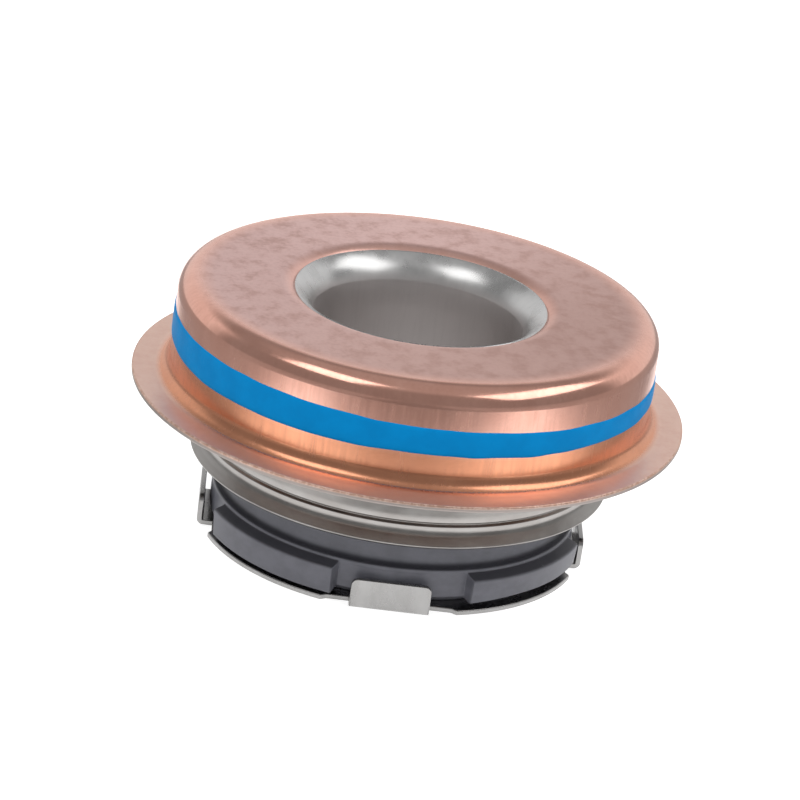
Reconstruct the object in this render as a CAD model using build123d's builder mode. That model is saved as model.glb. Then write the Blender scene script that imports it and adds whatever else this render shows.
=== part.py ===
from build123d import *
from math import cos, radians, sin, sqrt
import os

# Cartridge mechanical seal for a pump shaft, standing on its rotating unit.
# Millimetres, +Z along the shaft towards the closed side of the case, origin
# at the centre of the bottom face of the sleeve's flange.

# ---- Fits to the pump --------------------------------------------------------
bore_radius = 7.95            # shaft bore of the sleeve
free_height = 11.8            # bottom face up to the flange's seating face
case_depth = 7.85             # seating face up to the closed end of the case

# ---- Clearances ----------------------------------------------------------------
soft_clearance = 0.05         # rubber beside what holds it
soft_gap = 0.15               # a free rubber fold beside its neighbours
film_gap = 0.02               # between the two lapped faces
flare_gap = 0.13              # from the sleeve's flare to the case's funnel
neck_gap = 0.8                # from the sleeve to the case's neck
tab_gap = 0.1                 # from the cup's skirt to the driving tabs
coil_gap = 0.15               # from the spring to the wall of its cup

# ---- Shaft sleeve with its driving flange: one deep-drawn piece --------------------------
sleeve_sheet = 0.4
sleeve_foot_bend = 0.9
flare_bend = 1.9
flare_angle = 80.0

tab_count = 4
tab_width = 5.95
tab_height = 2.4
tab_bend = 0.5
tab_corner = 0.5
relief_width = 2.0            # gap in the flange on either side of a tab
relief_depth = 1.2
relief_rounding = 0.45

# ---- Rotating ring and the rubber cup that carries it ----------------------------------------
mating_width = 2.8
mating_height = 4.8
ring_chamfer = 0.25

cup_neck_wall = 0.9           # rubber between the sleeve and the ring
cup_floor = 1.0
cup_wall = 0.95
cup_wall_reveal = 0.5         # the ring stands this far out of the cup
cup_neck_height = 4.0
cup_edge = 0.2
cup_skirt_width = 0.75        # ring under the wall, at the back of the notches
cup_skirt_top = 3.35
cup_skirt_fillet = 0.45
cup_foot_inset = 0.25         # what the cup stands on, in from its wall
cup_foot_gap = 0.65           # under the lugs
lug_reach = 0.95              # out from the skirt
lug_top = 2.8
lug_slope = 0.3
lug_draft = 0.15
lug_edge = 0.18
notch_angle = 41.0
cup_turn = 3.2                # the notches lean against one side of the tabs

# ---- Stationary ring, the bellows' cuff and the drawn band that grips it ------------------------
nose_inset = 0.75             # the narrow nose, in from the rotating ring's bore
nose_width = 1.5
nose_height = 0.9
slide_inner_step = 0.4        # the ring is wider than its nose, inside and out
slide_outer_step = 1.2
slide_height = 3.4

cuff_wall = 2.0               # rubber around the ring
bellows_reveal = 0.6          # the ring stands this far out of the rubber
bellows_cover = 0.6           # rubber over the back of the ring
cover_inset = 0.8

holder_sheet = 0.4
holder_lip_width = 0.9        # lip over the rubber
holder_corner = 0.6
holder_height = 3.85
holder_drop = 0.2             # the lapped face stands this far below its rim
holder_rim_reach = 0.7        # the rim flares out by this much
holder_flare = 0.8            # height of the flared rim
holder_flare_bend = 0.7
holder_groove = 0.14
holder_groove_height = 1.5

# ---- Folds of the rubber bellows, from the ring out to the case ---------------------------------
bellows_wall = 0.8
fold_inset = 0.1              # inner wall, in from the edge of the cover
fold_high_width = 1.75        # between the walls on either side of the upper fold
fold_low_width = 1.675        # between the walls on either side of the lower fold
fold_low = 1.1                # lower fold's centre above the seating face
fold_high = 2.3               # upper fold's centre above the seating face
static_flange = 0.5
static_flange_width = 3.2

# ---- Case: one deep-drawn shell --------------------------------------------------
case_sheet = 0.5
flange_width = 2.775          # flange that stops against the housing
flange_fillet = 0.8
shoulder_radius = 1.6
funnel_radius = 2.2           # roll from the closed end down into the neck
neck_length = 0.8
case_edge = 0.1               # bevel of the flange's trimmed edge

# ---- Sealant band around the press fit ----------------------------------------------
band_width = 2.1
band_height = 2.8             # its lower edge above the seating face
band_thickness = 0.1

# ---- Ferrule, spring cup and spring -----------------------------------------------------------------
ferrule_sheet = 0.45
ferrule_bend = 0.7
ferrule_low = 1.3             # its lower edge above the seating face
spring_cup_sheet = 0.4
spring_cup_height = 1.6
spring_cup_bend = 0.5
coil_margin = 0.5             # seats of the spring, in from its inner side
wire_diameter = 1.2
end_turns = 1                 # closed turns at each end
active_turns = 2
end_grind = 0.3               # ground off each end

# ---- Radii that follow, from the shaft out to the case ---------------------------------------------
sleeve_outer = bore_radius + sleeve_sheet
cup_bore = sleeve_outer + soft_clearance
cup_neck_outer = cup_bore + cup_neck_wall
mating_inner = cup_neck_outer + soft_clearance
mating_outer = mating_inner + mating_width
cup_inner = mating_outer + soft_clearance
cup_outer = cup_inner + cup_wall
cup_skirt_radius = cup_outer + cup_skirt_width
cup_foot_radius = cup_outer - cup_foot_inset
lug_radius = cup_skirt_radius + lug_reach
driver_radius = cup_skirt_radius + tab_gap + sleeve_sheet

nose_inner = mating_inner + nose_inset
nose_outer = nose_inner + nose_width
slide_inner = nose_inner - slide_inner_step
slide_outer = nose_outer + slide_outer_step
cuff_inner = slide_outer + soft_clearance
cuff_outer = cuff_inner + cuff_wall
holder_radius = cuff_outer + soft_clearance + holder_sheet
holder_lip = holder_radius - holder_lip_width
holder_rim = holder_radius + holder_rim_reach
cover_inner = slide_inner + cover_inset
cover_outer = holder_lip - soft_clearance

fold_inner_radius = cover_outer - fold_inset - bellows_wall / 2
fold_middle_radius = fold_inner_radius + fold_high_width
static_radius = fold_middle_radius + fold_low_width
static_inner = static_radius - bellows_wall / 2
static_outer = static_radius + bellows_wall / 2
case_radius = static_outer + soft_clearance + case_sheet
flange_radius = case_radius + flange_width
neck_radius = sleeve_outer + neck_gap

ferrule_outer = static_inner - soft_clearance
static_flange_inner = ferrule_outer - static_flange_width
spring_cup_outer = fold_inner_radius - bellows_wall / 2 - soft_gap
coil_outer = spring_cup_outer - spring_cup_sheet - coil_gap
spring_mean_radius = coil_outer - wire_diameter / 2
coil_seat_inner = coil_outer - wire_diameter - coil_margin

# ---- Heights that follow ---------------------------------------------------------------------------
seat = free_height
case_top = seat + case_depth
case_ceiling = case_top - case_sheet
neck_low = case_top - funnel_radius - neck_length

flare_reach = bore_radius + flare_bend
flare_rim = flare_reach - (flare_bend - sleeve_sheet) * cos(radians(flare_angle))
funnel_reach = neck_radius + funnel_radius
rim_above_funnel = sqrt((funnel_radius + flare_gap) ** 2 - (funnel_reach - flare_rim) ** 2)
rim_height = case_top - funnel_radius + rim_above_funnel
flare_start = rim_height - (flare_bend - sleeve_sheet) * sin(radians(flare_angle))

mating_low = sleeve_sheet + cup_floor
mating_top = mating_low + mating_height
cup_top = mating_top - cup_wall_reveal
cup_low = sleeve_sheet + cup_foot_gap

slide_low = mating_top + film_gap
slide_top = slide_low + slide_height
holder_low = slide_low + holder_drop
holder_top = holder_low + holder_height
bellows_low = slide_low + bellows_reveal
cuff_top = holder_top - holder_sheet - soft_clearance
cover_top = slide_top + bellows_cover

static_shoulder = shoulder_radius - case_sheet + soft_clearance
fold_low_height = seat + fold_low
fold_high_height = seat + fold_high
ferrule_foot = seat + ferrule_low
ferrule_top = case_ceiling - static_flange
spring_low = cover_top + spring_cup_sheet
spring_high = ferrule_top - ferrule_sheet

tab_spacing = 360 / tab_count
lug_angle = tab_spacing - notch_angle

os.makedirs("parts", exist_ok=True)


def write(part, name):
    """Label one finished piece and write it as its own STEP file."""
    part.label = name
    export_step(part, f"parts/{name}.step")


# ---- Case ------------------------------------------------------------------------
with BuildPart() as case:
    with BuildSketch(Plane.XZ):
        with BuildLine():
            FilletPolyline(
                (flange_radius, seat),
                (case_radius, seat),
                (case_radius, case_top),
                (neck_radius, case_top),
                (neck_radius, neck_low),
                radius=[flange_fillet, shoulder_radius, funnel_radius],
            )
            offset(amount=case_sheet, side=Side.LEFT)
        make_face()
        chamfer(vertices().group_by(Axis.X)[-1], case_edge)
        # shallow seat of the sealant band
        with Locations((case_radius, seat + band_height + band_width / 2)):
            Rectangle(2 * band_thickness, band_width, mode=Mode.SUBTRACT)
    revolve(axis=Axis.Z)
write(case.part, "case")

# ---- Sealant band -----------------------------------------------------------------
with BuildPart() as sealant_band:
    with BuildSketch(Plane.XY.offset(seat + band_height)):
        Circle(case_radius)
        Circle(case_radius - band_thickness, mode=Mode.SUBTRACT)
    extrude(amount=band_width)
write(sealant_band.part, "sealant_band")

# ---- One driving tab, bent up from the sleeve's flange at +X -----------------------
with BuildPart() as tab:
    with BuildSketch(Plane.XZ):
        with BuildLine():
            FilletPolyline(
                (driver_radius - relief_depth, 0),
                (driver_radius, 0),
                (driver_radius, tab_height),
                radius=tab_bend,
            )
            offset(amount=sleeve_sheet, side=Side.LEFT)
        make_face()
    extrude(amount=tab_width / 2, both=True)
    fillet(tab.edges().filter_by(Axis.X).group_by(Axis.Z)[-1], tab_corner)

# ---- Shaft sleeve: bore, flared mouth, driving flange and its tabs ------------------
with BuildPart() as shaft_sleeve:
    with BuildSketch(Plane.XZ):
        with BuildLine():
            FilletPolyline(
                (driver_radius, 0),
                (bore_radius, 0),
                (bore_radius, flare_start),
                radius=sleeve_foot_bend,
            )
            CenterArc((flare_reach, flare_start), flare_bend, 180, -flare_angle)
            offset(amount=sleeve_sheet, side=Side.RIGHT)
        make_face()
    revolve(axis=Axis.Z)
    with BuildSketch():
        with PolarLocations(driver_radius, tab_count):
            RectangleRounded(2 * relief_depth, tab_width + 2 * relief_width, relief_rounding)
    extrude(amount=sleeve_sheet, mode=Mode.SUBTRACT)
    with PolarLocations(0, tab_count):
        add(tab.part)
write(shaft_sleeve.part, "shaft_sleeve")

# ---- Rotating ring of the face pair ---------------------------------------------------
with BuildPart() as mating_ring:
    with BuildSketch(Plane.XZ):
        with Locations((mating_inner, mating_low)):
            Rectangle(mating_outer - mating_inner, mating_height, align=Align.MIN)
        chamfer(vertices(), ring_chamfer)
    revolve(axis=Axis.Z)
write(mating_ring.part, "mating_ring")

# ---- One driving lug of the rubber cup, centred on +X ------------------------------------
with BuildPart() as lug:
    with BuildSketch(Plane.XZ):
        with BuildLine():
            Polyline(
                (cup_inner, cup_low),
                (lug_radius - lug_draft, cup_low),
                (lug_radius, lug_top),
                (cup_skirt_radius, lug_top + lug_slope),
                (cup_inner, lug_top + lug_slope),
                close=True,
            )
        make_face()
        fillet(vertices().group_by(Axis.X)[-2:], lug_edge)
    revolve(axis=Axis.Z, revolution_arc=lug_angle)

# ---- Rubber cup: seals the ring to the sleeve and takes the drive -------------------------
with BuildPart() as rubber_cup:
    with BuildSketch(Plane.XZ):
        with BuildLine():
            Polyline(
                (cup_bore, sleeve_sheet),
                (cup_foot_radius, sleeve_sheet),
                (cup_foot_radius, cup_low),
                (cup_skirt_radius, cup_low),
                (cup_skirt_radius, cup_skirt_top),
                (cup_outer, cup_skirt_top),
                (cup_outer, cup_top),
                (cup_inner, cup_top),
                (cup_inner, mating_low),
                (cup_neck_outer, mating_low),
                (cup_neck_outer, cup_neck_height),
                (cup_bore, cup_neck_height),
                close=True,
            )
        make_face()
        fillet(vertices().sort_by_distance((cup_outer, cup_skirt_top))[0], cup_skirt_fillet)
        chamfer(vertices().group_by(Axis.Y)[-1], cup_edge)
        fillet(vertices().group_by(Axis.X)[-1], cup_edge)
        # room for the bend at the sleeve's foot
        foot = vertices().sort_by_distance((cup_bore, sleeve_sheet))[0]
        chamfer(foot, sleeve_foot_bend - sleeve_sheet + soft_clearance)
    revolve(axis=Axis.Z)
    with PolarLocations(0, tab_count, start_angle=cup_turn + notch_angle / 2):
        add(lug.part)
write(rubber_cup.part, "rubber_cup")

# ---- Stationary ring with its narrow lapped nose --------------------------------------------
with BuildPart() as slide_ring:
    with BuildSketch(Plane.XZ):
        with Locations((nose_inner, slide_low)):
            Rectangle(nose_outer - nose_inner, slide_height, align=Align.MIN)
        with Locations((slide_inner, slide_low + nose_height)):
            Rectangle(slide_outer - slide_inner, slide_height - nose_height, align=Align.MIN)
        chamfer(vertices().group_by(Axis.Y)[-1], ring_chamfer)
    revolve(axis=Axis.Z)
write(slide_ring.part, "slide_ring")

# ---- Drawn band that grips the bellows on the stationary ring ---------------------------------
with BuildPart() as bellows_holder:
    with BuildSketch(Plane.XZ):
        with BuildLine():
            FilletPolyline(
                (holder_lip, holder_top),
                (holder_radius, holder_top),
                (holder_radius, holder_low + holder_flare),
                (holder_rim, holder_low),
                radius=[holder_corner, holder_flare_bend],
            )
            offset(amount=holder_sheet, side=Side.RIGHT)
        make_face()
        with Locations((holder_radius, holder_low + holder_groove_height)):
            Circle(holder_groove, mode=Mode.SUBTRACT)
    revolve(axis=Axis.Z)
write(bellows_holder.part, "bellows_holder")

# ---- Rubber bellows: clamped outer wall, two folds and the nose around the ring ----------------
with BuildPart() as bellows:
    with BuildSketch(Plane.XZ):
        with BuildLine():
            Line((static_radius, ferrule_top - static_shoulder / 2), (static_radius, fold_low_height))
            low_centre = (static_radius - fold_low_width / 2, fold_low_height)
            CenterArc(low_centre, fold_low_width / 2, 0, -180)
            Line((fold_middle_radius, fold_low_height), (fold_middle_radius, fold_high_height))
            high_centre = (fold_middle_radius - fold_high_width / 2, fold_high_height)
            CenterArc(high_centre, fold_high_width / 2, 0, 180)
            Line((fold_inner_radius, fold_high_height), (fold_inner_radius, cuff_top - bellows_wall / 2))
            offset(amount=bellows_wall / 2, side=Side.BOTH)
        make_face()
        # shoulder and flange between the ferrule and the closed end of the case
        with BuildLine():
            Polyline(
                (static_inner, ferrule_top - static_shoulder),
                (static_outer, ferrule_top - static_shoulder),
                (static_outer, case_ceiling),
                (static_flange_inner, case_ceiling),
                (static_flange_inner, ferrule_top),
                (static_inner, ferrule_top),
                close=True,
            )
        make_face()
        shoulder = vertices().sort_by_distance((static_outer, case_ceiling))[0]
        fillet(shoulder, static_shoulder)
        # nose around the stationary ring
        with Locations((cuff_inner, bellows_low)):
            Rectangle(cuff_outer - cuff_inner, cuff_top - bellows_low, align=Align.MIN)
        nose_corner = vertices().sort_by_distance((cuff_outer, cuff_top))[0]
        fillet(nose_corner, holder_corner - holder_sheet + soft_clearance)
        # cover over the back of the ring
        with Locations((cover_inner, slide_top)):
            Rectangle(cover_outer - cover_inner, bellows_cover, align=Align.MIN)
    revolve(axis=Axis.Z)
write(bellows.part, "bellows")

# ---- Ferrule: presses the bellows to the case and seats the spring --------------------------------
with BuildPart() as ferrule:
    with BuildSketch(Plane.XZ):
        with BuildLine():
            FilletPolyline(
                (ferrule_outer, ferrule_foot),
                (ferrule_outer, ferrule_top),
                (coil_seat_inner, ferrule_top),
                radius=ferrule_bend,
            )
            offset(amount=ferrule_sheet, side=Side.LEFT)
        make_face()
    revolve(axis=Axis.Z)
write(ferrule.part, "ferrule")

# ---- Spring cup: spreads the spring's force over the back of the ring -------------------------------
with BuildPart() as spring_cup:
    with BuildSketch(Plane.XZ):
        with BuildLine():
            FilletPolyline(
                (coil_seat_inner, cover_top),
                (spring_cup_outer, cover_top),
                (spring_cup_outer, cover_top + spring_cup_height),
                radius=spring_cup_bend,
            )
            offset(amount=spring_cup_sheet, side=Side.LEFT)
        make_face()
    revolve(axis=Axis.Z)
write(spring_cup.part, "spring_cup")

# ---- Coil spring with closed, ground ends: half turns, each an arc in its own plane --------------------
coil_low = spring_low + wire_diameter / 2 - end_grind
coil_high = spring_high - wire_diameter / 2 + end_grind
end_rise = wire_diameter / 2
active_rise = (coil_high - coil_low - 4 * end_turns * end_rise) / (2 * active_turns)
closed_end = [end_rise] * (2 * end_turns)
with BuildPart() as spring:
    with BuildLine():
        side, height = spring_mean_radius, coil_low
        for rise in closed_end + [active_rise] * (2 * active_turns) + closed_end:
            middle = Vector(0, side * sqrt(1 + (rise / 2 / side) ** 2), height + rise / 2)
            ThreePointArc((side, 0, height), middle, (-side, 0, height + rise))
            side, height = -side, height + rise
    with BuildSketch(Plane(origin=(spring_mean_radius, 0, coil_low), z_dir=(0, 1, 0))):
        Circle(wire_diameter / 2)
    sweep()
    with BuildSketch(Plane.XY.offset(spring_low)):
        Circle(2 * spring_mean_radius)
    extrude(amount=spring_high - spring_low, mode=Mode.INTERSECT)
write(spring.part, "spring")
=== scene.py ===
import bmesh
import bpy
from math import asin, cos, pi, radians, sin, sqrt, tan
from mathutils import Matrix, Vector, noise


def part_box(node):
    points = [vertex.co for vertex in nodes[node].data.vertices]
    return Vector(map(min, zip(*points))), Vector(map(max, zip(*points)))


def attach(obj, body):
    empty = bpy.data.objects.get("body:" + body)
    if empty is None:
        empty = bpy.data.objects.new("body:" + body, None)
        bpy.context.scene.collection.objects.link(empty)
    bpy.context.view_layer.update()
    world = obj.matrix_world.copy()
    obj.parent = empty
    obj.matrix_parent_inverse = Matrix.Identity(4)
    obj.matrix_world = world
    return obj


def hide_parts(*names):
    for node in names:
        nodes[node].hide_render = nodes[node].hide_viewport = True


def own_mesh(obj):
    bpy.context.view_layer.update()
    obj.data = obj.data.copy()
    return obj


# Cartridge mechanical seal: what it looks like. Lengths are in millimetres, and are
# turned into metres as the meshes are made. Only the lamps' sizes are in metres.
MM = 0.001

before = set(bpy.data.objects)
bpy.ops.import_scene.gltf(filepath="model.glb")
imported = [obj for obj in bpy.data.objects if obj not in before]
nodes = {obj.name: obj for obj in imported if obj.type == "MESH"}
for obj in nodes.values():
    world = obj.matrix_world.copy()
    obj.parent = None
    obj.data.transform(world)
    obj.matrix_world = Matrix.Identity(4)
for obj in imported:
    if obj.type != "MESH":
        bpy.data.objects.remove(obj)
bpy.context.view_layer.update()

# ---- Sizes read from the frame -------------------------------------------------------


def span(node):
    """Lowest and highest point of a node, and its greatest radius."""
    low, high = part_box(node)
    reach = max(v.co.xy.length for v in nodes[node].data.vertices)
    return low.z / MM, high.z / MM, reach / MM


case_low, case_top, flange_radius = span("case")
band_low, band_high, case_radius = span("sealant_band")
holder_low, holder_top, holder_rim = span("bellows_holder")
cup_low, cup_top, lug_radius = span("rubber_cup")
_, sleeve_top, driver_radius = span("shaft_sleeve")
spring_low, spring_high, spring_reach = span("spring")
bellows_low, bellows_top, _ = span("bellows")

# ---- Sizes of the pieces -------------------------------------------------------------
case_sheet = 0.5
case_edge = 0.12              # rounding of its cut edges
flange_fillet = 1.1
shoulder_radius = 1.6
funnel_radius = 2.2
neck_radius = 9.15
neck_length = 0.8
neck_low = case_top - funnel_radius - neck_length
seat = case_low + case_sheet
shoulder_start = case_radius - shoulder_radius
crown = 0.08                  # how far the closed end falls away towards its corner
crown_start = 12.2            # the radius where that begins
flange_waver = 0.05           # how far the trimmed flange strays from round and flat

band_bulge = 0.09
band_tuck = 0.02              # how far the film's edges lie inside the wall
band_root = 0.06              # and its inner face
band_drop = 0.30              # how far the film sits below the node's own band
band_rise = 0.47              # how far its upper edge lies aslant
band_waver = 0.12             # how far its lower edge wanders
band_ripple = 0.04

bore_radius = 7.95
sleeve_sheet = 0.4
sleeve_edge = 0.1
sleeve_foot_bend = 0.9
tube_start = 4.0              # the plain tube's lowest row of points
tube_rows = 6
flare_bend = 1.9
flare_angle = 80              # in degrees, like flare_step
flare_step = 4
flare_flatness = 0.5          # 0 is a true arc and 1 a straight cone
flare_lip = 0.06              # how far the rounded rim stands out
flare_start = sleeve_top - flare_bend * sin(radians(flare_angle))
tab_count = 4
tab_width = 5.95
tab_height = 2.4
tab_bend = 0.5
tab_corner = 0.5
tab_root = 0.25               # how far a tab reaches in under the driving flange
tab_bevel = 0.07
relief_width = 2.0
relief_depth = 1.2
relief_blend = 0.4            # the length over which a relief's side rises

cup_bore = 8.4
cup_bore_chamfer = 0.55
cup_floor = 1.0
cup_neck_outer = 9.3
cup_neck_height = 4.0
cup_inner = 12.2
cup_outer = 13.15
cup_bead = 0.06
cup_skirt_radius = 13.9
cup_skirt_top = 3.35
cup_skirt_fillet = 0.45
cup_foot_radius = 12.9
lug_low = 1.05
lug_top = 2.8
lug_slope = 0.3
lug_draft = 0.15
lug_side = 0.17               # half the length over which a lug's side rises
notch_angle = 41.0
cup_turn = 3.2
sag_depth = 0.4
sag_angle = radians(225)

holder_sheet = 0.4
holder_edge = 0.1
holder_lip = 14.4
holder_radius = 15.3
holder_corner = 0.6
holder_taper = 0.24           # how much narrower its upper end is
holder_shoulder = 0.5         # where the taper ends, above the groove, and its bend
holder_shoulder_bend = 4.0
holder_flare = 0.8
holder_flare_bend = 0.7
holder_groove_height = 1.5
holder_groove = 0.18

bellows_wall = 0.8
cuff_inner = 12.85
cuff_wall = 2.0
cuff_top = 9.82
cover_inner = 10.5
cover_outer = 14.35
cover_top = 10.22
cover_wall = 0.6
fold_overlap = 0.2            # how far the folds' wall reaches into the cuff
fold_low = seat + 1.1
fold_high = seat + 2.3
fold_inner_radius = 13.85
fold_middle_radius = 15.6
static_radius = 17.275        # of the wall that the case clamps
static_flange_inner = 13.625
static_flange_wall = 0.5
static_shoulder = 1.15
clamp_low = bellows_top - 1.65

wire_diameter = 1.2
end_turns = 1
active_turns = 2
end_grinding = 0.3            # how much of the wire is ground off at each end


# ---- Outlines in (radius, height) ----------------------------------------------------
def outline(corners, hold=0.03, closed=True, steps=None):
    """Points of an outline whose corners are (r, z, rounding); each rounding is an
    arc, with a point just before and after it that keeps the flats flat. Outlines
    made with the same steps have as many points, even where a corner is straight."""
    points = []
    count = len(corners)
    for i, (r, z, rounding) in enumerate(corners):
        here = Vector((r, z))
        before = Vector(corners[i - 1][:2]) - here
        after = Vector(corners[(i + 1) % count][:2]) - here
        if not closed and i in (0, count - 1):
            points.append(here)
            continue
        a, b = before.normalized(), after.normalized()
        opening = a.angle(b)
        if steps and opening > pi - 0.05:
            run = min(rounding, before.length, after.length) / 2
            points += [here + a * run * (1 - 2 * k / (steps + 2)) if 2 * k <= steps + 2
                       else here + b * run * (2 * k / (steps + 2) - 1)
                       for k in range(steps + 3)]
            continue
        if rounding <= 0 or opening > pi - 0.01:
            points.append(here)
            continue
        reach = rounding / tan(opening / 2)
        reach = min(reach, 0.49 * before.length, 0.49 * after.length)
        radius = reach * tan(opening / 2)
        centre = here + (a + b).normalized() * (radius / sin(opening / 2))
        start, end = here + a * reach, here + b * reach
        arc = steps or max(4, int((pi - opening) * (3 + 4 * sqrt(radius))))
        from_centre = start - centre
        sweep = from_centre.angle_signed(end - centre)
        points.append(start + a * hold)
        for k in range(arc + 1):
            turn = -sweep * k / arc
            c, s = cos(turn), sin(turn)
            points.append(centre + Vector((
                from_centre.x * c - from_centre.y * s,
                from_centre.x * s + from_centre.y * c,
            )))
        points.append(end + b * hold)
    return [(p.x, p.y) for p in points]


def sheet(path, thickness, edge):
    """Corners of a bent sheet. The path's (r, z, bend) lie on one face, and the
    sheet is on their left, or for a negative thickness on their right."""
    least_bend = 0.05
    face = [Vector(p[:2]) for p in path]
    runs = [(b - a).normalized() for a, b in zip(face, face[1:])]
    across = [Vector((-d.y, d.x)) * thickness for d in runs]
    front = [(face[0].x, face[0].y, edge)]
    back = [(*(face[0] + across[0]), edge)]
    for i in range(1, len(face) - 1):
        spread = 1 + runs[i - 1].dot(runs[i])
        inside = runs[i - 1].x * runs[i].y - runs[i - 1].y * runs[i].x
        bend = path[i][2]
        front.append((face[i].x, face[i].y, bend))
        moved = face[i] + (across[i - 1] + across[i]) / spread
        other_bend = bend - thickness * (1 if inside > 0 else -1)
        back.append((*moved, max(least_bend, other_bend)))
    front.append((face[-1].x, face[-1].y, edge))
    back.append((*(face[-1] + across[-1]), edge))
    return front + back[::-1]


def ease(t):
    """A smooth step from 0 to 1."""
    t = max(0.0, min(1.0, t))
    return t * t * (3 - 2 * t)


def wander(angle, seed, detail=1.0):
    """A smooth closed wave around the shaft, from -1 to 1."""
    spot = Vector((cos(angle) * detail, sin(angle) * detail, seed))
    return max(-1.0, min(1.0, 1.6 * noise.noise(spot)))


# ---- Meshes --------------------------------------------------------------------------
def piece(name, points, faces, material, smooth=True):
    """A mesh object from points in millimetres."""
    mesh = bpy.data.meshes.new(name)
    mesh.from_pydata([tuple(c * MM for c in p) for p in points], [], faces)
    mesh.update()
    for polygon in mesh.polygons:
        polygon.use_smooth = smooth
    mesh.materials.append(material)
    thing = bpy.data.objects.new(name, mesh)
    bpy.context.scene.collection.objects.link(thing)
    return thing


def face_outward(thing):
    """Turn every face of a closed mesh outward."""
    work = bmesh.new()
    work.from_mesh(thing.data)
    bmesh.ops.recalc_face_normals(work, faces=work.faces)
    work.to_mesh(thing.data)
    work.free()


def quads(columns, rows, joined=False):
    """Faces between neighbouring columns of points, each column a closed loop of
    rows points; joined also joins the last column to the first."""
    faces = []
    for i in range(columns if joined else columns - 1):
        j = (i + 1) % columns
        for k in range(rows):
            m = (k + 1) % rows
            faces.append((i * rows + k, j * rows + k, j * rows + m, i * rows + m))
    return faces


def rings(name, columns, angles, material):
    """A body of revolution from one outline per angle, all with as many points."""
    points = [(r * cos(angle), r * sin(angle), z)
              for column, angle in zip(columns, angles) for r, z in column]
    faces = quads(len(angles), len(columns[0]), joined=True)
    thing = piece(name, points, faces, material)
    face_outward(thing)
    return thing


def bar(name, points, rows, material):
    """A solid along a row of loops, each of rows points, with both ends capped."""
    columns = len(points) // rows
    last = (columns - 1) * rows
    faces = quads(columns, rows)
    faces.append(tuple(range(rows)))
    faces.append(tuple(last + k for k in reversed(range(rows))))
    thing = piece(name, points, faces, material)
    face_outward(thing)
    return thing


def around(count):
    """Evenly spaced angles of a whole turn."""
    return [2 * pi * i / count for i in range(count)]


def closer(angles, middles, reach):
    """The angles with more of them near each middle, and none too near another."""
    least_gap = 0.0006
    more = [middle + reach * (k / 8 - 1) for middle in middles for k in range(17)]
    kept = []
    for angle in sorted(a % (2 * pi) for a in angles + more):
        if not kept or angle - kept[-1] > least_gap:
            kept.append(angle)
    return kept


def lathe(name, corners, material, segments, warp=None):
    """Turn one outline about the shaft's axis; warp moves its points by angle."""
    profile = outline(corners)
    angles = around(segments)
    columns = [[warp(angle, r, z) for r, z in profile] if warp else profile
               for angle in angles]
    return rings(name, columns, angles, material)


# ---- Materials -----------------------------------------------------------------------
class Nodes:
    """A node tree under construction: short calls that add nodes and join them."""

    def __init__(self, tree):
        self.tree = tree

    def node(self, kind):
        return self.tree.nodes.new(kind)

    def join(self, value, socket):
        """Link an output into a socket, or set the socket to a constant."""
        if isinstance(value, bpy.types.NodeSocket):
            self.tree.links.new(value, socket)
        else:
            socket.default_value = value

    def fill(self, made, *values):
        """Join values to a node's first sockets, and return its first output."""
        for value, socket in zip(values, made.inputs):
            self.join(value, socket)
        return made.outputs[0]

    def math(self, operation, a, b=0.0):
        made = self.node("ShaderNodeMath")
        made.operation = operation
        return self.fill(made, a, b)

    def times(self, a, b):
        return self.math("MULTIPLY", a, b)

    def minus(self, a, b):
        return self.math("SUBTRACT", a, b)

    def greater(self, a, b):
        return self.math("MAXIMUM", a, b)

    def ramp(self, value, low, high, to_low=0.0, to_high=1.0):
        """An eased step from to_low to_high as the value goes from low to high."""
        made = self.node("ShaderNodeMapRange")
        made.interpolation_type = "SMOOTHSTEP"
        return self.fill(made, value, low, high, to_low, to_high)

    def split(self, vector):
        made = self.node("ShaderNodeSeparateXYZ")
        self.fill(made, vector)
        return made.outputs


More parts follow.
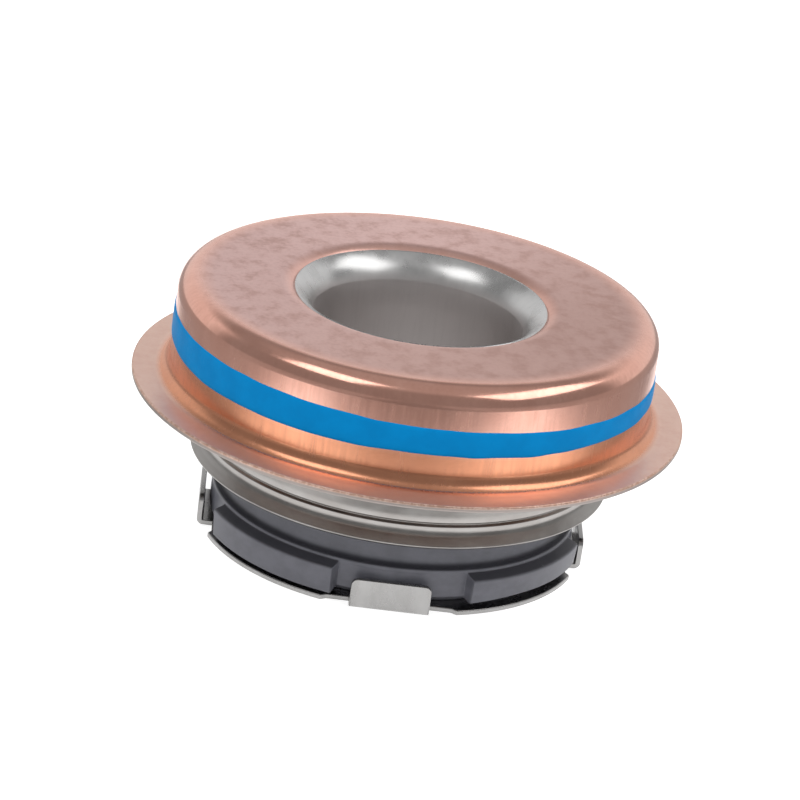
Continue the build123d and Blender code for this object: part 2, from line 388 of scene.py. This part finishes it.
class Surface(Nodes):
    """A material with one shader, whose patterns follow the object's own place."""

    def __init__(self, name, color, metallic, roughness):
        self.material = bpy.data.materials.new(name)
        self.material.use_nodes = True
        super().__init__(self.material.node_tree)
        self.shader = self.tree.nodes["Principled BSDF"]
        self.set(Base_Color=(*color, 1), Metallic=metallic, Roughness=roughness)
        self.coordinate = self.node("ShaderNodeTexCoord").outputs["Object"]

    def set(self, **inputs):
        for key, value in inputs.items():
            self.join(value, self.shader.inputs[key.replace("_", " ")])

    def place(self):
        """x, y and height in millimetres."""
        return [self.math("DIVIDE", c, MM) for c in self.split(self.coordinate)]

    def radius(self):
        """Distance from the shaft's axis in millimetres."""
        x, y, _ = self.place()
        return self.math("SQRT", self.math("ADD", self.times(x, x), self.times(y, y)))

    def scaled(self, across, along=None):
        """The place in millimetres, stretched across and along the shaft's axis."""
        along = across if along is None else along
        made = self.node("ShaderNodeVectorMath")
        made.operation = "MULTIPLY"
        return self.fill(made, self.coordinate, (across / MM, across / MM, along / MM))

    def polar(self, radial, axial, turning):
        """Coordinates that follow a turned part: radius, height, and a little angle."""
        x, _, z = self.place()
        radius = self.radius()
        return self.fill(
            self.node("ShaderNodeCombineXYZ"),
            self.times(radius, radial),
            self.times(z, axial),
            self.times(self.math("DIVIDE", x, radius), turning),
        )

    def turned(self):
        """Let the gloss stretch as on a part turned about the shaft's axis."""
        tangent = self.node("ShaderNodeTangent")
        tangent.direction_type = "RADIAL"
        tangent.axis = "Z"
        self.set(Tangent=tangent.outputs[0])

    def noise(self, vector, detail=3.0, roughness=0.55):
        made = self.node("ShaderNodeTexNoise")
        self.join(vector, made.inputs["Vector"])
        made.inputs["Scale"].default_value = 1.0
        made.inputs["Detail"].default_value = detail
        made.inputs["Roughness"].default_value = roughness
        return made.outputs["Fac"]

    def mix(self, factor, a, b):
        """Colour a where the factor is 0, and colour b where it is 1."""
        made = self.node("ShaderNodeMix")
        made.data_type = "RGBA"
        self.join(factor, made.inputs[0])
        for value, socket in ((a, made.inputs[6]), (b, made.inputs[7])):
            self.join((*value, 1) if isinstance(value, tuple) else value, socket)
        return made.outputs[2]

    def shades(self, pattern, dark, light, low=0.3, high=0.7):
        """From the dark colour to the light one as the pattern goes from low to high."""
        return self.mix(self.ramp(pattern, low, high), dark, light)

    def stained(self, color, stain, pattern, low, high, most):
        """A colour with up to `most` of a stain, where the pattern is high."""
        return self.mix(self.ramp(pattern, low, high, 0.0, most), color, stain)

    def bump(self, height, distance, strength, under=None):
        made = self.node("ShaderNodeBump")
        made.inputs["Strength"].default_value = strength
        made.inputs["Distance"].default_value = distance * MM
        self.join(height, made.inputs["Height"])
        if under:
            self.join(under, made.inputs["Normal"])
        return made.outputs[0]


def copper_case():
    """Copper-plated drawn sheet: matte pink closed end, painted lighter towards the back
    left (painted light); glossy drawn corner; streaked wall painted redder under the
    sealant (a painted reflection of the flange); a pale matte flange with a cut rim;
    painted shade under it."""
    s = Surface("copper", (0.80, 0.46, 0.34), 1.0, 0.34)
    x, y, height = s.place()
    radius = s.radius()

    # Where each finish lies, and the painted light and shade.
    end = s.ramp(height, case_top - 1.2, case_top - 0.3)
    flat = s.ramp(radius, shoulder_start - 1.2, shoulder_start + 0.9, 1.0, 0.0)
    off_the_hole = s.ramp(radius, neck_radius + 0.5, neck_radius + 1.5, 0.45, 1.0)
    top = s.times(s.times(end, flat), off_the_hole)
    corner = s.times(s.ramp(height, case_top - 1.9, case_top - 1.0),
                     s.ramp(radius, shoulder_start - 0.8, shoulder_start + 0.3))
    under_band = s.ramp(height, band_low - 0.6, band_low + 0.4, 1.0, 0.0)
    flange = s.ramp(radius, case_radius + 0.5, case_radius + 1.1)
    rim = s.ramp(radius, flange_radius - 0.16, flange_radius - 0.08)
    painted_shade_underside = s.ramp(height, seat - 0.3, seat - 0.1, 1.0, 0.0)
    painted_light_to_back_left = s.minus(s.times(y, 0.6), s.times(x, 0.8))

    blotch = s.noise(s.scaled(0.4), detail=4)
    stain = s.noise(s.scaled(0.75), detail=4, roughness=0.6)
    mottle = s.noise(s.scaled(3.0), detail=5, roughness=0.65)
    streak = s.noise(s.scaled(3.2, 0.25), detail=4, roughness=0.6)

    warm = s.shades(blotch, (0.87, 0.465, 0.365), (0.93, 0.515, 0.41), low=0.35)
    # Painted reflection: the wall below the band is painted redder, for the flange's
    # orange that it reflects.
    red_painted_reflection = s.shades(blotch, (0.76, 0.33, 0.19), (0.83, 0.37, 0.215), low=0.35)
    wall = s.mix(under_band, warm, red_painted_reflection)
    wall = s.stained(wall, (0.62, 0.31, 0.22), streak, 0.35, 0.8, 0.18)
    # Painted light: the pink end is painted lighter towards the back left and darker at
    # the front.
    pink = s.shades(painted_light_to_back_left, (0.70, 0.445, 0.39), (0.90, 0.61, 0.57), -14, 13)
    pink = s.stained(pink, (0.62, 0.37, 0.31), stain, 0.46, 0.72, 0.45)
    pink = s.stained(pink, (0.60, 0.37, 0.32), mottle, 0.35, 0.8, 0.3)
    pale = s.stained((0.96, 0.67, 0.56), (0.86, 0.53, 0.43), stain, 0.4, 0.75, 0.4)
    cut = s.shades(mottle, (0.66, 0.40, 0.30), (0.90, 0.64, 0.53), 0.42, 0.62)
    color = s.mix(top, wall, pink)
    color = s.mix(flange, color, pale)
    color = s.mix(rim, color, cut)
    # Painted shade: the flange's underside is painted a dark grey-brown.
    color = s.mix(painted_shade_underside, color, (0.36, 0.315, 0.295))

    gloss = s.minus(s.ramp(streak, 0.3, 0.8, 0.21, 0.29), s.times(corner, 0.07))
    gloss = s.mix(top, gloss, s.ramp(stain, 0.35, 0.7, 0.38, 0.48))
    gloss = s.mix(flange, gloss, s.ramp(mottle, 0.35, 0.7, 0.36, 0.44))
    s.set(Base_Color=color, Roughness=gloss, Anisotropic=0.3,
          Metallic=s.minus(1.0, s.times(flange, 0.17)))
    s.turned()
    fine = s.bump(mottle, 0.004, 0.35)
    s.set(Normal=s.bump(streak, 0.003, 0.15, fine))
    return s.material


def sealant_blue():
    """Dried film of sealant, matte and even."""
    s = Surface("sealant", (0.0, 0.22, 0.55), 0.0, 0.5)
    cloud = s.noise(s.scaled(0.5), detail=3)
    grain = s.noise(s.scaled(5), detail=4)
    s.set(Base_Color=s.shades(cloud, (0.0, 0.235, 0.59), (0.0, 0.265, 0.65)),
          Roughness=s.ramp(grain, 0.3, 0.7, 0.44, 0.56), Specular_IOR_Level=0.06)
    s.set(Normal=s.bump(grain, 0.01, 0.3))
    return s.material


def holder_steel():
    """Satin spring band: fine turned lines and soft blotches."""
    s = Surface("holder_steel", (0.45, 0.43, 0.41), 1.0, 0.34)
    lines = s.noise(s.polar(5, 9, 0.6), detail=5, roughness=0.7)
    cloud = s.noise(s.scaled(0.35, 0.7), detail=4)
    grey = s.shades(cloud, (0.32, 0.30, 0.285), (0.45, 0.435, 0.42))
    grey = s.stained(grey, (0.37, 0.35, 0.335), lines, 0.35, 0.7, 0.6)
    s.set(Base_Color=grey, Roughness=s.ramp(cloud, 0.3, 0.75, 0.28, 0.40), Anisotropic=0.5)
    s.turned()
    s.set(Normal=s.bump(lines, 0.004, 0.4))
    return s.material


def sleeve_steel():
    """Drawn stainless: bright flare, tabs painted darker (painted shade), and a duller,
    streaked bore.
    """
    s = Surface("sleeve_steel", (0.60, 0.59, 0.57), 1.0, 0.24)
    _, _, height = s.place()
    bore = s.times(s.ramp(height, flare_start - 0.2, flare_start + 0.9, 1.0, 0.0),
                   s.ramp(height, tab_height + 0.5, tab_height + 1.5))
    tabs = s.ramp(height, tab_height, tab_height + 0.5, 1.0, 0.0)
    cloud = s.noise(s.scaled(0.6, 0.25), detail=4)
    streak = s.noise(s.scaled(3, 0.3), detail=4, roughness=0.6)
    flare_grey = s.shades(cloud, (0.57, 0.565, 0.56), (0.68, 0.675, 0.67))
    # Painted shade: the tabs and driving flange are painted a darker grey than the same
    # steel of the flare.
    tab_painted_shade_grey = s.shades(cloud, (0.35, 0.345, 0.34), (0.43, 0.425, 0.42))
    grey = s.mix(bore, s.mix(tabs, flare_grey, tab_painted_shade_grey), (0.69, 0.655, 0.645))
    streaks = s.times(bore, s.ramp(streak, 0.35, 0.8, 0.0, 0.2))
    grey = s.mix(streaks, grey, (0.56, 0.53, 0.52))
    gloss = s.math("ADD", s.ramp(cloud, 0.3, 0.75, 0.25, 0.32), s.times(bore, 0.20))
    s.set(Base_Color=grey, Roughness=gloss)
    s.set(Normal=s.bump(streak, 0.002, 0.2))
    return s.material


def cup_rubber():
    """Moulded elastomer: slate grey with a satin skin and a little dust, and painted shade
    where it faces up."""
    s = Surface("cup_rubber", (0.08, 0.08, 0.095), 0.0, 0.42)
    cloud = s.noise(s.scaled(0.5, 0.7), detail=4)
    grain = s.noise(s.scaled(9), detail=3, roughness=0.6)
    dust = s.noise(s.scaled(2.6), detail=2, roughness=0.4)
    _, _, facing_up_painted_shade = s.split(s.node("ShaderNodeTexCoord").outputs["Normal"])
    slate = s.shades(cloud, (0.130, 0.131, 0.155), (0.175, 0.177, 0.205))
    # Painted shade: faces that point up are painted darker.
    slate = s.stained(slate, (0.050, 0.050, 0.060), facing_up_painted_shade, 0.25, 0.9, 0.85)
    slate = s.stained(slate, (0.35, 0.35, 0.36), dust, 0.72, 0.80, 0.2)
    s.set(Base_Color=slate, Roughness=s.ramp(cloud, 0.3, 0.75, 0.36, 0.48))
    s.set(Normal=s.bump(grain, 0.006, 0.4))
    return s.material


def bellows_rubber():
    """Black moulded elastomer."""
    s = Surface("bellows_rubber", (0.022, 0.022, 0.024), 0.0, 0.5)
    cloud = s.noise(s.scaled(0.6), detail=4)
    grain = s.noise(s.scaled(8), detail=3)
    s.set(Base_Color=s.shades(cloud, (0.016, 0.016, 0.018), (0.032, 0.032, 0.034)),
          Roughness=s.ramp(cloud, 0.3, 0.75, 0.42, 0.58))
    s.set(Normal=s.bump(grain, 0.006, 0.4))
    return s.material


def carbide():
    """Sintered silicon carbide, finely ground."""
    s = Surface("silicon_carbide", (0.05, 0.05, 0.053), 0.0, 0.28)
    grain = s.noise(s.scaled(12), detail=4, roughness=0.7)
    lines = s.noise(s.polar(7, 7, 0.5), detail=4)
    black = s.shades(grain, (0.040, 0.041, 0.044), (0.085, 0.086, 0.09), 0.35, 0.75)
    s.set(Base_Color=black,
          Roughness=s.ramp(lines, 0.3, 0.7, 0.2, 0.36), Specular_IOR_Level=0.8)
    s.set(Normal=s.bump(lines, 0.002, 0.4))
    return s.material


def pressed_steel():
    """Plain pressed sheet of the ferrule and the spring's cup."""
    s = Surface("pressed_steel", (0.45, 0.44, 0.43), 1.0, 0.36)
    lines = s.noise(s.polar(8, 8, 0.5), detail=4)
    cloud = s.noise(s.scaled(0.6), detail=4)
    s.set(Base_Color=s.shades(cloud, (0.40, 0.39, 0.38), (0.52, 0.51, 0.50)),
          Roughness=s.ramp(lines, 0.3, 0.7, 0.30, 0.44))
    s.set(Normal=s.bump(lines, 0.004, 0.4))
    return s.material


def spring_steel():
    """Drawn wire, darkened where it was coiled."""
    s = Surface("spring_wire", (0.38, 0.37, 0.36), 1.0, 0.3)
    lines = s.noise(s.scaled(3, 9), detail=4)
    cloud = s.noise(s.scaled(0.7), detail=3)
    s.set(Base_Color=s.shades(cloud, (0.30, 0.29, 0.28), (0.46, 0.45, 0.44)),
          Roughness=s.ramp(lines, 0.3, 0.7, 0.24, 0.4))
    s.set(Normal=s.bump(lines, 0.004, 0.4))
    return s.material


copper = copper_case()
blue = sealant_blue()
steel_satin = holder_steel()
steel_bright = sleeve_steel()
rubber = cup_rubber()
rubber_inner = bellows_rubber()
ceramic = carbide()
steel_pressed = pressed_steel()
steel_wire = spring_steel()


# ---- Case ----------------------------------------------------------------------------
def case_form(angle, r, z):
    """The closed end is slightly crowned; the trimmed flange isn't quite flat or round."""
    fall = (crown * ease((r - crown_start) / (shoulder_start - crown_start))
            * ease((z - case_top + 3.0) / 2.5))
    waver = flange_waver * ease((r - case_radius - 0.6) / 2.0)
    shrink = waver * (1 + wander(angle, 3.1, 2.5)) / 2
    sink = waver * (1 - wander(angle, 7.7, 1.2)) / 2 if z > seat - 0.2 else 0
    return r - shrink, z - fall - sink


case = lathe("case_shell", sheet([
    (flange_radius, seat, 0),
    (case_radius, seat, flange_fillet),
    (case_radius, case_top, shoulder_radius),
    (neck_radius, case_top, funnel_radius),
    (neck_radius, neck_low, 0),
], case_sheet, case_edge), copper, 480, case_form)
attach(case, "housing")
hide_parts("case")


# ---- Sealant band --------------------------------------------------------------------
def band_edges(angle):
    """Heights of the painted band's two edges, which wander: the upper one lies aslant."""
    low = (band_low - band_drop + wander(angle, 21.5, 2.0) * band_waver
           + wander(angle, 4.4, 9.0) * band_ripple)
    high = (band_high - band_drop - band_rise * (cos(angle) + 0.28 * sin(angle))
            + wander(angle, 9.1, 9.0) * band_ripple)
    return low, high


def band_column(low, high, steps=14):
    """A film with a gently swollen face and blunt edges."""
    skin = case_radius - band_tuck
    column = []
    for k in range(steps + 1):
        t = k / steps
        swell = sqrt(1 - (2 * t - 1) ** 6) if 0 < k < steps else 0.0
        column.append((skin + (band_bulge + band_tuck) * swell, low + (high - low) * t))
    root = case_radius - band_root
    return column + [(root, high), (root, low)]


band_angles = around(480)
band = rings("sealant_ring", [band_column(*band_edges(a)) for a in band_angles],
             band_angles, blue)
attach(band, "housing")
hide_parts("sealant_band")

# ---- Drawn band that grips the bellows -----------------------------------------------
groove_z = holder_low + holder_groove_height
holder = lathe("holder_band", sheet([
    (holder_lip, holder_top, 0),
    (holder_radius - holder_taper, holder_top, holder_corner),
    (holder_radius, groove_z + holder_shoulder, holder_shoulder_bend),
    (holder_radius, groove_z + holder_groove, 0.08),
    (holder_radius - holder_groove, groove_z, 0.05),
    (holder_radius, groove_z - holder_groove, 0.08),
    (holder_radius, holder_low + holder_flare, holder_flare_bend),
    (holder_rim, holder_low, 0),
], -holder_sheet, holder_edge), steel_satin, 360)
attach(holder, "floating")
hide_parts("bellows_holder")


# ---- Rubber cup with its driving lugs ------------------------------------------------
def lug_share(angle):
    """How far the rim stands out here: 0 in a notch, 1 on a lug."""
    spacing = 2 * pi / tab_count
    half_notch = radians(notch_angle) / 2
    side = lug_side / lug_radius
    turn = (angle - radians(cup_turn) + spacing / 2) % spacing - spacing / 2
    return ease((abs(turn) - half_notch + side) / (2 * side))


def lug_sag(angle):
    """The soft lug to the left of the front tab hangs nearer to the flange."""
    return sag_depth * ease(1.4 * cos(angle - sag_angle)) * lug_share(angle)


def cup_column(angle):
    share, sag = lug_share(angle), lug_sag(angle)
    low = cup_skirt_radius + share * (lug_radius - lug_draft - cup_skirt_radius)
    high = cup_skirt_radius + share * (lug_radius - cup_skirt_radius)
    brow = lug_top + (1 - share) * lug_slope * 0.5
    return outline([
        (cup_bore, cup_low + cup_bore_chamfer, 0.1),
        (cup_bore + cup_bore_chamfer, cup_low, 0.1),
        (cup_foot_radius, cup_low, 0.12),
        (cup_foot_radius, lug_low - sag, 0.12),
        (low, lug_low - sag, 0.2),
        (high, brow, 0.22),
        (cup_skirt_radius + 0.02, lug_top + lug_slope, 0.12),
        (cup_skirt_radius, cup_skirt_top, 0.16),
        (cup_outer + cup_bead, cup_skirt_top + 0.05, cup_skirt_fillet),
        (cup_outer, cup_top, 0.2),
        (cup_inner, cup_top, 0.18),
        (cup_inner, cup_low + cup_floor, 0.12),
        (cup_neck_outer, cup_low + cup_floor, 0.12),
        (cup_neck_outer, cup_neck_height, 0.15),
        (cup_bore, cup_neck_height, 0.15),
    ], hold=0.02, steps=6)


def cup_mesh():
    """Evenly spaced columns, and closer ones across the side of each lug."""
    half_notch = radians(notch_angle) / 2
    sides = [2 * pi * i / tab_count + radians(cup_turn) + sign * half_notch
             for i in range(tab_count) for sign in (-1, 1)]
    angles = closer(around(300), sides, 1.15 * lug_side / lug_radius)
    return rings("driving_cup", [cup_column(a) for a in angles], angles, rubber)


cup = cup_mesh()
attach(cup, "rotor")
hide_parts("rubber_cup")


# ---- Shaft sleeve: tube, flare and driving flange, and its four tabs -----------------
def flange_edge(angle):
    """Edge of the driving flange: round, with a relief on each side of a tab."""
    spacing = 2 * pi / tab_count
    turn = (angle + spacing / 2) % spacing - spacing / 2
    past_relief = abs(driver_radius * sin(turn)) - tab_width / 2 - relief_width
    deep = (driver_radius - relief_depth) / cos(turn)
    rise = ease(past_relief / relief_blend + 0.5)
    return deep + (driver_radius - deep) * rise


def flare_curve(bend):
    """One face of the flare, from the bore up to its rim."""
    arc = [(bore_radius + flare_bend - bend * cos(radians(a)),
            flare_start + bend * sin(radians(a)))
           for a in range(0, flare_angle + 1, flare_step)]
    start, rise = Vector(arc[0]), Vector(arc[-1]) - Vector(arc[0])
    points = [Vector(p).lerp(start + rise * i / (len(arc) - 1), flare_flatness)
              for i, p in enumerate(arc)]
    return [tuple(p) for p in points]


def sleeve_mesh():
    relief_end = asin((tab_width / 2 + relief_width) / driver_radius)
    sides = [2 * pi * i / tab_count + sign * relief_end
             for i in range(tab_count) for sign in (-1, 1)]
    angles = closer(around(360), sides, 0.02)
    outer_radius = bore_radius + sleeve_sheet
    inner_flare = flare_curve(flare_bend)
    outer_flare = flare_curve(flare_bend - sleeve_sheet)[::-1]
    lip_start, lip_end = inner_flare[-1], outer_flare[0]
    lip = ((lip_start[0] + lip_end[0]) / 2 + flare_lip, (lip_start[1] + lip_end[1]) / 2)
    heights = [tube_start + (flare_start - tube_start) * k / tube_rows
               for k in range(1, tube_rows)]
    inner_tube = [(bore_radius, z) for z in heights]
    outer_tube = [(outer_radius, z) for z in reversed(heights)]
    columns = []
    for angle in angles:
        edge = flange_edge(angle)
        under = outline([
            (edge, sleeve_sheet / 2, 0),
            (edge, 0.0, sleeve_edge),
            (bore_radius, 0.0, sleeve_foot_bend),
            (bore_radius, tube_start, 0),
        ], closed=False)
        over = outline([
            (outer_radius, tube_start, 0),
            (outer_radius, sleeve_sheet, sleeve_foot_bend - sleeve_sheet),
            (edge, sleeve_sheet, sleeve_edge),
            (edge, sleeve_sheet / 2, 0),
        ], closed=False)[:-1]
        columns.append(under + inner_tube + inner_flare + [lip]
                       + outer_flare + outer_tube + over)
    return rings("sleeve_tube", columns, angles, steel_bright)


def tab_mesh(index):
    """One tab: bent sheet with rounded top corners, its edges eased."""
    half = tab_width / 2
    middle = tab_width - 2 * tab_corner
    stations = sorted({-half + tab_corner * k / 8 for k in range(9)}
                      | {half - tab_corner * k / 8 for k in range(9)}
                      | {-half + tab_corner + middle * k / 10 for k in range(11)})
    turn = 2 * pi * index / tab_count
    c, s = cos(turn), sin(turn)
    points, rows = [], 0
    for across in stations:
        into = max(0.0, abs(across) - half + tab_corner)
        top = tab_height - tab_corner + sqrt(max(0.0, tab_corner ** 2 - into ** 2))
        loop = outline(sheet([
            (driver_radius - relief_depth - tab_root, 0.0, 0),
            (driver_radius, 0.0, tab_bend),
            (driver_radius, top, 0),
        ], sleeve_sheet, 0.0))
        rows = len(loop)
        points += [(r * c - across * s, r * s + across * c, z) for r, z in loop]
    tab = bar(f"driving_tab_{index + 1}", points, rows, steel_bright)
    bevel = tab.modifiers.new("edge", "BEVEL")
    bevel.width = tab_bevel * MM
    bevel.segments = 3
    bevel.angle_limit = radians(40)
    bevel.harden_normals = True
    return tab


sleeve = sleeve_mesh()
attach(sleeve, "rotor")
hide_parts("shaft_sleeve")
for index in range(tab_count):
    tab = tab_mesh(index)
    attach(tab, "rotor")

# ---- Bellows: the cuff on the ring, and the folds out to the case --------------------
cuff = lathe("bellows_cuff", [
    (cuff_inner, bellows_low, 0.15),
    (cuff_inner + cuff_wall, bellows_low, 0.15),
    (cuff_inner + cuff_wall, cuff_top, 0.25),
    (cover_outer, cuff_top, 0.05),
    (cover_outer, cover_top, 0.1),
    (cover_inner, cover_top, 0.1),
    (cover_inner, cover_top - cover_wall, 0.1),
    (cuff_inner, cover_top - cover_wall, 0.05),
], rubber_inner, 240)
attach(cuff, "floating")


def folds_mesh():
    """The thin wall from the cuff over two folds, and the clamped rim under the case."""
    half = bellows_wall / 2
    high_bend = (fold_middle_radius - fold_inner_radius) / 2
    low_bend = (static_radius - fold_middle_radius) / 2
    line = [(fold_inner_radius, cover_top - fold_overlap, -1, 0),
            (fold_inner_radius, fold_high, -1, 0)]
    for a in range(10, 181, 10):
        c, s = cos(radians(180 - a)), sin(radians(180 - a))
        line.append((fold_middle_radius - high_bend + high_bend * c,
                     fold_high + high_bend * s, c, s))
    line.append((fold_middle_radius, fold_low, 1, 0))
    for a in range(10, 181, 10):
        c, s = cos(radians(180 + a)), sin(radians(180 + a))
        line.append((static_radius - low_bend + low_bend * c,
                     fold_low + low_bend * s, -c, -s))
    line.append((static_radius, clamp_low, -1, 0))
    left = [(r + half * nx, z + half * nz) for r, z, nx, nz in line]
    right = [(r - half * nx, z - half * nz) for r, z, nx, nz in line]
    flange_low = bellows_top - static_flange_wall
    rim = outline([
        (*left[-1], 0),
        (static_radius - half, flange_low, 0.02),
        (static_flange_inner, flange_low, 0.1),
        (static_flange_inner, bellows_top, 0.1),
        (static_radius + half, bellows_top, static_shoulder),
        (*right[-1], 0),
    ], closed=False)
    column = left[:-1] + rim + right[-2::-1]
    angles = around(240)
    return rings("bellows_folds", [column] * len(angles), angles, rubber_inner)


folds = folds_mesh()
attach(folds, "housing")
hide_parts("bellows")
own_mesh(folds)


# ---- Coil spring ---------------------------------------------------------------------
def wire_height(t, low, high):
    """Height of the wire's centre after t turns: closed end turns, open middle turns."""
    turns = 2 * end_turns + active_turns
    end_rise = end_turns * wire_diameter
    middle_rise = high - low - 2 * end_rise
    if t < end_turns:
        return low + t * wire_diameter
    if t < end_turns + active_turns:
        return low + end_rise + middle_rise * (t - end_turns) / active_turns
    return high - wire_diameter * (turns - t)


def spring_mesh():
    """Round wire, its ends ground flat."""
    wire = wire_diameter / 2
    low = spring_low + wire - end_grinding
    high = spring_high - wire + end_grinding
    turns = 2 * end_turns + active_turns
    per_turn, sides = 72, 16
    points = []
    for i in range(turns * per_turn + 1):
        t = i / per_turn
        z = wire_height(t, low, high)
        for a in around(sides):
            r = spring_reach - wire + wire * cos(a)
            h = max(spring_low, min(spring_high, z + wire * sin(a)))
            points.append((r * cos(2 * pi * t), r * sin(2 * pi * t), h))
    return bar("coil_spring", points, sides, steel_wire)


coil = spring_mesh()
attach(coil, "housing")
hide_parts("spring")
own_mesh(coil)

# ---- Materials of the frame's own nodes ----------------------------------------------
for name, material in (
    ("mating_ring", ceramic),
    ("slide_ring", ceramic),
    ("ferrule", steel_pressed),
    ("spring_cup", steel_pressed),
    ("case", copper),
    ("sealant_band", blue),
    ("bellows_holder", steel_satin),
    ("rubber_cup", rubber),
    ("shaft_sleeve", steel_bright),
    ("bellows", rubber_inner),
    ("spring", steel_wire),
):
    slots = nodes[name].data.materials
    slots.clear()
    slots.append(material)

# ---- Lamps ---------------------------------------------------------------------------
lamp_target = 0.012           # the height the lamps point at
lamp_distance = 0.40
lamp_height = 0.17
lamp_radiance = 1.75          # how bright a lamp looks


def aim(azimuth, elevation):
    """Direction towards a place: azimuth 0 is the front, -Y, and 90 is +X."""
    a, e = radians(azimuth), radians(elevation)
    return Vector((sin(a) * cos(e), -cos(a) * cos(e), sin(e)))


def softbox(name, azimuth, elevation, width):
    """A rectangular lamp that faces the seal."""
    lamp = bpy.data.lights.new(name, "AREA")
    lamp.shape = "RECTANGLE"
    lamp.size, lamp.size_y = width, lamp_height
    lamp.energy = lamp_radiance * pi * width * lamp_height
    thing = bpy.data.objects.new(name, lamp)
    thing.location = aim(azimuth, elevation) * lamp_distance + Vector((0, 0, lamp_target))
    thing.rotation_mode = "QUATERNION"
    thing.rotation_quaternion = aim(azimuth, elevation).to_track_quat("Z", "Y")
    bpy.context.scene.collection.objects.link(thing)


softbox("lamp_right", 80, 50, 0.36)
softbox("lamp_left", -54, 56, 0.22)

# ---- Table ---------------------------------------------------------------------------
table_half = 900
sheet_middle = 1.5            # the sheet's centre line, to the right of the seal
sheet_side = 49.0             # half the sheet's width in front of the seal, and behind it
sheet_side_behind = 36.0
sheet_front = 48.0
sheet_blur = 5                # half the width of its soft edge
sheet_glow = 0.75
shaded_level = 0.3            # what the metal still reflects of the sheet under the seal
table_level = 0.25            # how bright the table looks in front, and to the sides
table_level_aside = 0.40


def table():
    """A white sheet on a grey table. It shows as white, takes the seal's shadow,
    and the metal reflects the sheet and the table round it."""
    s = Surface("table", (0.85, 0.85, 0.85), 0.0, 0.6)
    x, y, _ = s.place()
    side = s.ramp(y, -34, 15, sheet_side, sheet_side_behind)
    aside = s.math("ABSOLUTE", s.minus(x, sheet_middle))
    across = s.ramp(s.minus(aside, side), -sheet_blur, sheet_blur, 1.0, 0.0)
    along = s.ramp(y, -sheet_front - sheet_blur, -sheet_front + sheet_blur)
    bare = s.minus(1.0, s.times(across, along))
    radius = s.radius()
    # Painted shadow: what the metal reflects of the sheet is dimmed round the seal;
    # painted light: it is full again under the bore.
    shade = s.greater(s.ramp(radius, 12, 15.5, shaded_level, 1.0),
                      s.ramp(radius, bore_radius - 0.5, bore_radius + 0.5, 1.0, 0.0))

    path = s.node("ShaderNodeLightPath").outputs
    mirrored = s.greater(path["Is Glossy Ray"], path["Is Transmission Ray"])
    seen = s.greater(path["Is Camera Ray"], s.times(mirrored, shade))
    glow = s.node("ShaderNodeEmission")
    s.join(s.times(seen, sheet_glow), glow.inputs["Strength"])
    white = s.fill(s.node("ShaderNodeAddShader"), s.shader.outputs[0], glow.outputs[0])
    grey = s.node("ShaderNodeEmission")
    s.join(s.ramp(aside, 20, 50, table_level, table_level_aside), grey.inputs["Strength"])
    shown = s.fill(s.node("ShaderNodeMixShader"), s.times(mirrored, bare), white,
                   grey.outputs[0])
    s.join(shown, s.tree.nodes["Material Output"].inputs["Surface"])
    half = table_half
    thing = piece("table", [(-half, -half, 0), (half, -half, 0), (half, half, 0),
                            (-half, half, 0)], [(0, 1, 2, 3)], s.material, smooth=False)


table()

# ---- Room ----------------------------------------------------------------------------
room_level = 0.288            # how bright the walls look, and the ceiling
ceiling_level = 0.416
sweep_level = 0.8             # the white wall behind
ambient_level = 0.8           # the even light on matte surfaces


def room():
    """White behind, and soft grey walls and ceiling that the metal reflects."""
    world = bpy.data.worlds.new("studio")
    bpy.context.scene.world = world
    world.use_nodes = True
    world.node_tree.nodes.clear()
    s = Nodes(world.node_tree)
    _, y, z = s.split(s.node("ShaderNodeTexCoord").outputs["Generated"])
    behind = s.times(s.ramp(y, 0.0, 0.45), s.ramp(z, 0.50, 0.75, 1.0, 0.0))
    walls = s.ramp(z, 0.75, 0.9, room_level, ceiling_level)
    level = s.greater(walls, s.times(behind, sweep_level))
    path = s.node("ShaderNodeLightPath").outputs
    level = s.greater(level, s.times(path["Is Diffuse Ray"], ambient_level))
    level = s.greater(level, path["Is Camera Ray"])
    light = s.fill(s.node("ShaderNodeBackground"), (1.0, 1.0, 1.0, 1.0), level)
    s.join(light, s.node("ShaderNodeOutputWorld").inputs["Surface"])


room()
bpy.context.scene.view_settings.view_transform = "Standard"

# ---- Camera --------------------------------------------------------------------------
camera_azimuth = -3.3
camera_elevation = 22.38
camera_roll = 8.13
camera_distance = 326.0
camera_lens = 193.7
aim_right = -0.51             # where it looks, from the centre of the seating face
aim_up = -0.94


def make_camera():
    data = bpy.data.cameras.new("camera")
    data.lens = camera_lens
    data.sensor_width = 36.0
    data.clip_start, data.clip_end = 0.01, 10
    back = aim(camera_azimuth, camera_elevation)
    a = radians(camera_azimuth)
    right = Vector((cos(a), sin(a), 0))
    up = right.cross(-back)
    roll = radians(camera_roll)
    rolled_right = right * cos(roll) + up * sin(roll)
    rolled_up = -right * sin(roll) + up * cos(roll)
    target = right * aim_right + Vector((0, 0, seat + aim_up))
    place = (target + back * camera_distance) * MM
    turn = Matrix((rolled_right, rolled_up, back)).transposed()
    thing = bpy.data.objects.new("camera", data)
    thing.matrix_world = Matrix.Translation(place) @ turn.to_4x4()
    bpy.context.scene.collection.objects.link(thing)
    bpy.context.scene.camera = thing


make_camera()
